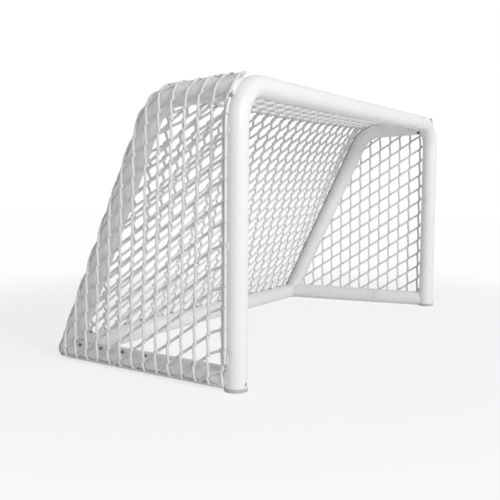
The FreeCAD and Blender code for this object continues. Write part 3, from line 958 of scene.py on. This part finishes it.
class MainSheet(NetSheet):
    """The top and back nets as one sheet, x across and s down, with the fold between them at s = 0."""

    arc_points = 17
    fold_angle = math.radians(27.9)
    fold_half = 0.554
    fold_sag = 0.0120
    sag_way = np.array([[-0.56, -0.83]])
    top_reach = 0.1770
    front_rise = 0.0172
    blend_width = 0.110
    turn_width = 0.06
    edge_press = 0.016
    press_start = 0.35
    bar_press = 0.018
    top_shift = 0.013
    shift_slope = 0.30
    shift_end = 0.043
    back_shift = 0.017
    back_ease = 0.040

    def __init__(self, plan: GoalPlan) -> None:
        """Works out the lines over the rails and down the slopes, in the y and z plane."""
        super().__init__(plan)
        front, corner, self.bar = (point[1:] for point in plan.stay_points())
        self.bend = Bend(front, corner, self.bar, plan.bend_radius)
        up, rail = self.bend.rail_up, self.bend.rail
        reach = plan.bend_radius + plan.net_offset
        fold = self.fold_angle - math.atan2(up[0], up[1])
        before = self.bend.arc(reach, fold, 0.0, self.arc_points)
        after = self.bend.arc(reach, fold, self.bend.turn, self.arc_points)
        self.fold_end = after[0]
        self.bar_touch = self.bar + self.bend.slope_out * plan.net_offset
        rail_front = front + up * plan.net_offset
        rail_front = rail_front + rail * (plan.top_front_line - rail_front[0]) / rail[0]
        self.rail_line = np.vstack([before, [rail_front]])
        self.slope_line = np.vstack([after, [self.bar_touch]])
        self.back_reach = distances(self.slope_line)[-1]

    @property
    def span(self) -> tuple[float, float]:
        """How far up and down the sheet the net reaches."""
        raise NotImplementedError

    def half_at(self, s: Array) -> Array:
        """Half the sheet's width, which ends over the axes of the stays."""
        front, fold, rear = (point[0] for point in self.plan.stay_points())
        top = front + (fold - front) * np.clip(1 + s / self.top_reach, 0.0, 1.0)
        return np.where(s < 0, top, fold + (rear - fold) * np.clip(s / self.back_reach, 0.0, 1.0))

    def outside(self, flat: Array) -> Array:
        """How far places lie outside the net's border: over the stays, or past an end of its span."""
        x, s = flat.T
        ends = np.maximum(self.span[0] - s, s - self.span[1])
        return np.maximum(np.abs(x) - self.half_at(s), ends)

    def warped(self, flat: Array) -> Array:
        """Places after the lean of the mesh, which eases off towards the fold."""
        x, s = flat.T
        lean = np.where(s < 0.0, self.top_shift, self.top_shift - self.shift_slope * s)
        down = -self.back_shift * (1 - np.exp(-(s - self.shift_end) / self.back_ease))
        return np.column_stack([x + np.where(s > self.shift_end, down, lean), s])

    def fold(self, x: Array) -> Array:
        """The fold's y and z, which sags between the stays."""
        slack = self.fold_sag * np.clip(1 - (x / self.fold_half) ** 2, 0.0, 1.0)
        return self.fold_end + slack[:, None] * self.sag_way

    def place(self, flat: Array, lift: Array, press: float = 1.0) -> tuple[Array, Array]:
        """Where places lie: on the top, the back or the rear bar, as in NetSheet."""
        x, s = flat.T
        fold = self.fold(x)
        front = np.array([[self.plan.top_front_line, self.plan.height + self.front_rise]])
        top_share = np.clip(-s / self.top_reach, 0.0, 1.0)
        back_share = np.clip(s / self.back_reach, 0.0, 1.0)
        top = fold + (front - fold) * top_share[:, None]
        back = fold + (self.bar_touch - fold) * back_share[:, None]
        over_rail = points_at(self.rail_line, top_share * distances(self.rail_line)[-1])
        over_slope = points_at(self.slope_line, back_share * self.back_reach)
        on_top = s[:, None] < 0
        ruled = np.where(on_top, top, back)
        profile = np.where(on_top, over_rail, over_slope)
        to_edge = np.abs(x) - self.half_at(s)
        laid = ruled + (profile - ruled) * ease((to_edge + self.blend_width) / self.blend_width)[:, None]
        share = ease(0.5 + s / self.turn_width)[:, None]
        outward = self.bend.rail_up * (1 - share) + self.bend.slope_out * share
        outward /= np.linalg.norm(outward, axis=1)[:, None]
        past_bar = s - self.back_reach
        at_edge = ease((to_edge + self.edge_press) / self.edge_press)
        tight = press * np.maximum(at_edge, ease(self.press_start + past_bar / self.bar_press))
        reach = self.squeezed(lift, tight)
        laid = laid + outward * (reach - self.plan.net_offset)[:, None]
        turn = np.maximum(past_bar, 0.0)[:, None] / self.plan.net_offset
        away = np.cos(turn) * self.bend.slope_out + np.sin(turn) * self.bend.slope
        round_bar = past_bar[:, None] > 0
        laid = np.where(round_bar, self.bar + reach[:, None] * away, laid)
        square = np.column_stack([0 * x, np.where(round_bar, away, outward)])
        return np.column_stack([x, laid]), square * (self.press_depth * tight)[:, None]


class TopSheet(MainSheet):
    """The part of the main sheet in front of the fold."""

    box = ((-0.60, -0.19), (0.60, 0.01))

    @property
    def span(self) -> tuple[float, float]:
        """From the crossbar's rod to the fold."""
        return -self.top_reach, 0.0


class BackSheet(MainSheet):
    """The part of the main sheet behind the fold."""

    box = ((-0.60, -0.01), (0.60, 0.61))
    hem_turn = math.radians(39.95)

    @property
    def span(self) -> tuple[float, float]:
        """From the fold to the hem on the rear bar."""
        return 0.0, self.back_reach + self.hem_turn * self.plan.net_offset


# The pieces


CORD_SIDES = 10
LOOP_RADIUS = 0.0044
LOOP_TURN = 1.1 * math.pi
LOOP_CLIMB = 0.0035
SIDE_JOINT = Joint(0.0038, 0.0026, -0.0002, 0.0014, 0.0031, -0.0006)
MAIN_JOINT = Joint(0.0052, 0.0042, 0.0020, 0.0020, 0.0026, -0.0004)
SIDE_PATTERNS = {
    Side.LEFT: MeshPattern((0.046, 0.4658), (0.0, -0.0385), (0.0326, -0.0222), SIDE_JOINT),
    Side.RIGHT: MeshPattern((0.065, 0.4858), (0.0, -0.0408), (0.0315, -0.0215), SIDE_JOINT),
}
SIDE_STRETCHES = {
    Side.LEFT: SideStretch(0.046, 0.0134, -0.007),
    Side.RIGHT: SideStretch(0.0335, 0.0020, 0.0),
}


def rod_turn(lead: float = 0.0) -> tuple[Array, Array, Array]:
    """A turn of thin twine round a rod: its two distances across the rod and its climb along it."""
    angles = np.linspace(-LOOP_TURN, LOOP_TURN, 22)
    across = LOOP_RADIUS * np.cos(angles + lead)
    return across, LOOP_RADIUS * np.sin(angles + lead), LOOP_CLIMB * angles / math.pi


@dataclass
class TubeFrame:
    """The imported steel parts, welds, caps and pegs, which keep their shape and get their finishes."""

    nodes: dict[str, Object]
    finishes: FinishBox

    def dress(self) -> None:
        """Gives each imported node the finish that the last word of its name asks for."""
        kinds = dict.fromkeys(("frame", "stay", "rail", "bar", "corner"), self.finishes.tube)
        kinds |= {"rod": self.finishes.rod, "welds": self.finishes.weld}
        kinds |= {"cap": self.finishes.cap, "pegs": self.finishes.peg}
        for name, node in self.nodes.items():
            material = kinds.get(name.rsplit("_", 1)[-1])
            if material is None:
                continue
            if not node.material_slots:
                node.data.materials.append(material)
            for slot in node.material_slots:
                slot.material = material
            LOG.info("%s: %s", name, material.name)


@dataclass
class SideNet:
    """A side net of twine, its loops round the post's rod, and the cord round its border."""

    plan: GoalPlan
    finishes: FinishBox
    side: Side
    loop_lead: float = 0.4
    loop_span: tuple[float, float] = (0.056, 0.520)
    cord_radius: float = 0.0021
    lacing_radius: float = 0.0015
    lacing_pitch: float = 0.038
    lacing_step: float = 0.003
    lacing_rise: float = 0.6
    laced_share: float = 0.60

    def build(self) -> None:
        """Makes the net, and the cord that joins it to the top and back nets and is its lower hem."""
        word = self.side.word
        sheet = SideSheet(self.plan, SIDE_STRETCHES[self.side])
        net = sheet.knitted(SIDE_PATTERNS[self.side], self._rod_loops(), self.side)
        net.build(word + "_side_twine", self.finishes.twine, Slot.TWINE, word + "_side_net")
        line = self.plan.packed(sheet.border(), self.side)
        cord = TubeMesh(self.cord_radius, CORD_SIDES)
        cord.add(line)
        on_stay = line[: int(len(line) * self.laced_share)]
        reach = self.cord_radius + self.lacing_radius * self.lacing_rise
        cord.add(spiral(on_stay, reach, self.lacing_pitch, self.lacing_step), self.lacing_radius)
        cord.build(word + "_border_cord", self.finishes.cord, Slot.CORD, word + "_base_cord")

    def _rod_loops(self) -> list[Array]:
        """Small turns of twine that hold the net's front edge on the rod, one at each knot."""
        pattern, stretch = SIDE_PATTERNS[self.side], SIDE_STRETCHES[self.side]
        columns = round((stretch.first_column - pattern.knot[0]) / pattern.second_step[0])
        middle = pattern.knot[1] + columns * pattern.second_step[1] + self.plan.tube_radius + stretch.drop
        across, back, climb = rod_turn(self.loop_lead)
        loops = []
        for height in middle + pattern.first_step[1] * np.arange(-12, 20):
            if self.loop_span[0] < height < self.loop_span[1]:
                x = self.plan.rod_x(height) + across
                loops.append(np.column_stack([x, self.plan.rod_rearward + back, height - climb]))
        return loops


@dataclass
class MainNet:
    """The top and back nets, the cord under their fold and the hem along the rear bar."""

    plan: GoalPlan
    finishes: FinishBox
    pattern: MeshPattern = MeshPattern((0.024, 0.044), (0.016, 0.031), (-0.030, 0.031), MAIN_JOINT)
    loop_start: float = 0.008
    loop_reach: float = 0.505
    wrapping_radius: float = 0.0012
    wrapping_gap: float = 0.0010
    wrapping_pitch: float = 0.023
    wrapping_step: float = 0.004

    def build(self) -> None:
        """Makes both nets and their cords."""
        top = TopSheet(self.plan)
        net = top.knitted(self.pattern, self._rod_loops())
        net.build("top_twine", self.finishes.twine, Slot.TWINE, "top_net")
        net = BackSheet(self.plan).knitted(self.pattern, [])
        net.build("back_twine", self.finishes.twine, Slot.TWINE, "back_net")
        self._fold_cord(top)
        self._rear_hem()

    def _rod_loops(self) -> list[Array]:
        """Turns of twine that hold the top net's front edge on the crossbar's rod."""
        back, up, climb = rod_turn()
        y = self.plan.top_rod_rearward + back
        z = self.plan.height + self.plan.top_rod_upward + up
        spacing = self.pattern.first_step[0] - self.pattern.second_step[0]
        places = self.loop_start + spacing * np.arange(-11, 12)
        return [np.column_stack([x + climb, y, z]) for x in places if abs(x) <= self.loop_reach]

    def _fold_cord(self, sheet: MainSheet) -> None:
        """The cord under the fold, which sags a little between the stays."""
        x = np.linspace(-sheet.fold_half, sheet.fold_half, 160)
        middle = sheet.fold(x) + sheet.sag_way * self.plan.twine_radius
        line = self.plan.packed(np.column_stack([x, middle]))
        cord = TubeMesh(self.plan.twine_radius, CORD_SIDES)
        cord.add(line)
        reach = self.plan.twine_radius + self.wrapping_gap
        cord.add(spiral(line, reach, self.wrapping_pitch, self.wrapping_step), self.wrapping_radius)
        cord.build("fold_cord", self.finishes.cord, Slot.CORD, "top_rear_cord")

    def _rear_hem(self) -> None:
        """The cord under the back net's lower edge, along the rear bar."""
        low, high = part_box("rear_base_cord")
        middle = (low + high) / 2
        cord = TubeMesh(self.plan.twine_radius, CORD_SIDES)
        cord.add(np.linspace((low.x, middle.y, middle.z), (high.x, middle.y, middle.z), 120))
        cord.build("rear_hem_cord", self.finishes.cord, Slot.CORD, "rear_base_cord")


@dataclass
class Studio:
    """The floor, the lamp and the camera."""

    post_y: float
    floor_reach: float = 6.0
    floor_drop: float = 0.0002
    floor_colour: Colour = (0.95, 0.95, 0.95)
    floor_dimming: float = 0.97
    floor_roughness: float = 0.9
    # Painted shade round the goal: the white's share near it, and the distances over which it rises to the
    # far share.
    white_in_painted_shade: float = 0.72
    far_white: float = 0.97
    painted_shade_reach: tuple[float, float] = (0.7, 1.7)
    room_light: float = 0.41
    lamp_place: Place = (-2.6, -5.5, 3.0)
    lamp_aim: Place = (0.0, 0.0, 0.3)
    lamp_size: float = 2.4
    lamp_power: float = 238.0
    camera_place: Place = (-1.8138, -0.7151, 0.3836)
    camera_yaw: float = 1.059
    camera_drop: float = 0.087
    camera_roll: float = 0.007
    lens: float = 56.52

    def build(self) -> None:
        """Sets up the whole studio."""
        self._floor()
        self._room()
        self._lamp()
        self._camera()
        bpy.context.scene.view_settings.view_transform = "Standard"

    def _floor(self) -> None:
        """A pale floor that shows as nearly white and keeps the goal's shadow; near the goal less white
        shows, a painted soft shade round it.
        """
        mesh = bpy.data.meshes.new("floor")
        reach = self.floor_reach
        corners = [(-reach, -reach), (reach, -reach), (reach, reach), (-reach, reach)]
        mesh.from_pydata([(*corner, -self.floor_drop) for corner in corners], [], [(0, 1, 2, 3)])
        floor = bpy.data.objects.new("floor", mesh)
        bpy.context.collection.objects.link(floor)
        material = bpy.data.materials.new("floor_paint")
        material.use_nodes = True
        sheet = NodeSheet(material.node_tree)
        shader = material.node_tree.nodes["Principled BSDF"]
        shader.inputs["Roughness"].default_value = self.floor_roughness
        place = sheet.place()
        cloud = sheet.noise(place, 3.0, 3.0, 0.5)
        dim = tuple(self.floor_dimming * part for part in self.floor_colour)
        sheet.link(sheet.blend(cloud, dim, self.floor_colour), shader.inputs["Base Color"])
        away = sheet.add("ShaderNodeVectorMath", {"operation": "LENGTH"})
        sheet.link(place, away.inputs[0])
        # Painted shade: near the goal less of the white shows, so the floor reads darker round it and its
        # real shadow shows more.
        white = sheet.add(
            "ShaderNodeMapRange",
            {"interpolation_type": "SMOOTHSTEP"},
            From_Min=self.painted_shade_reach[0],
            From_Max=self.painted_shade_reach[1],
            To_Min=self.white_in_painted_shade,
            To_Max=self.far_white,
        )
        sheet.link(away.outputs["Value"], white.inputs["Value"])
        self._show_white(sheet, shader, "ShaderNodeEmission", white.outputs[0])
        mesh.materials.append(material)

    def _room(self) -> None:
        """White all round for the camera, and soft even light for the goal."""
        world = bpy.data.worlds.new("room")
        bpy.context.scene.world = world
        world.use_nodes = True
        light = world.node_tree.nodes["Background"]
        light.inputs["Color"].default_value = (1.0, 1.0, 1.0, 1.0)
        light.inputs["Strength"].default_value = self.room_light
        self._show_white(NodeSheet(world.node_tree), light, "ShaderNodeBackground", 1.0)

    @staticmethod
    def _show_white(sheet: NodeSheet, usual: Node, kind: str, amount: object) -> None:
        """Shows white in place of a shader to the camera, also in gloss and through glass.

        Args:
            sheet: The sheet of the floor's or the room's tree.
            usual: The shader that lights everything else.
            kind: The type name of the node that is white.
            amount: How much of the white shows, a socket or a number.
        """
        path = sheet.add("ShaderNodeLightPath")
        gloss = sheet.math("MAXIMUM", path.outputs["Is Camera Ray"], path.outputs["Is Glossy Ray"])
        seen = sheet.math("MAXIMUM", gloss, path.outputs["Is Transmission Ray"])
        white = sheet.add(kind, Color=(1.0, 1.0, 1.0, 1.0), Strength=1.0)
        surface = usual.outputs[0].links[0].to_socket
        mix = sheet.add("ShaderNodeMixShader")
        sources = (sheet.math("MULTIPLY", seen, amount), usual.outputs[0], white.outputs[0])
        for source, target in zip(sources, mix.inputs):
            sheet.link(source, target)
        sheet.link(mix.outputs[0], surface)

    def _lamp(self) -> None:
        """A soft square lamp in front of the mouth."""
        lamp = bpy.data.lights.new("key_lamp", "AREA")
        lamp.size = self.lamp_size
        lamp.energy = self.lamp_power
        made = bpy.data.objects.new("key_lamp", lamp)
        made.location = self.lamp_place
        ahead = Vector(self.lamp_aim) - Vector(self.lamp_place)
        made.rotation_euler = ahead.to_track_quat("-Z", "Y").to_euler()
        bpy.context.collection.objects.link(made)

    def _camera(self) -> None:
        """The camera at the photograph's angle."""
        place = Vector(self.camera_place) + Vector((0.0, self.post_y, 0.0))
        yaw = Matrix.Rotation(-self.camera_yaw, 4, "Z")
        pitch = Matrix.Rotation(math.pi / 2 - self.camera_drop, 4, "X")
        roll = Matrix.Rotation(self.camera_roll, 4, "Z")
        data = bpy.data.cameras.new("camera")
        data.sensor_width = 36.0
        data.lens = self.lens
        made = bpy.data.objects.new("camera", data)
        made.matrix_world = Matrix.Translation(place) @ yaw @ pitch @ roll
        bpy.context.collection.objects.link(made)
        bpy.context.scene.camera = made


def note_sizes() -> None:
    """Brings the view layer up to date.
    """
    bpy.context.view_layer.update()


def main() -> None:
    """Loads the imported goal, dresses it and lights it."""
    logging.basicConfig(level=logging.INFO, format="%(message)s")
    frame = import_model()
    low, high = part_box("front_frame")
    plan = GoalPlan(post_y=(low.y + high.y) / 2)
    Studio(plan.post_y).build()
    finishes = FinishBox()
    TubeFrame(frame["nodes"], finishes).dress()
    for side in Side:
        SideNet(plan, finishes, side).build()
    MainNet(plan, finishes).build()
    note_sizes()


if __name__ == "__main__":
    main()
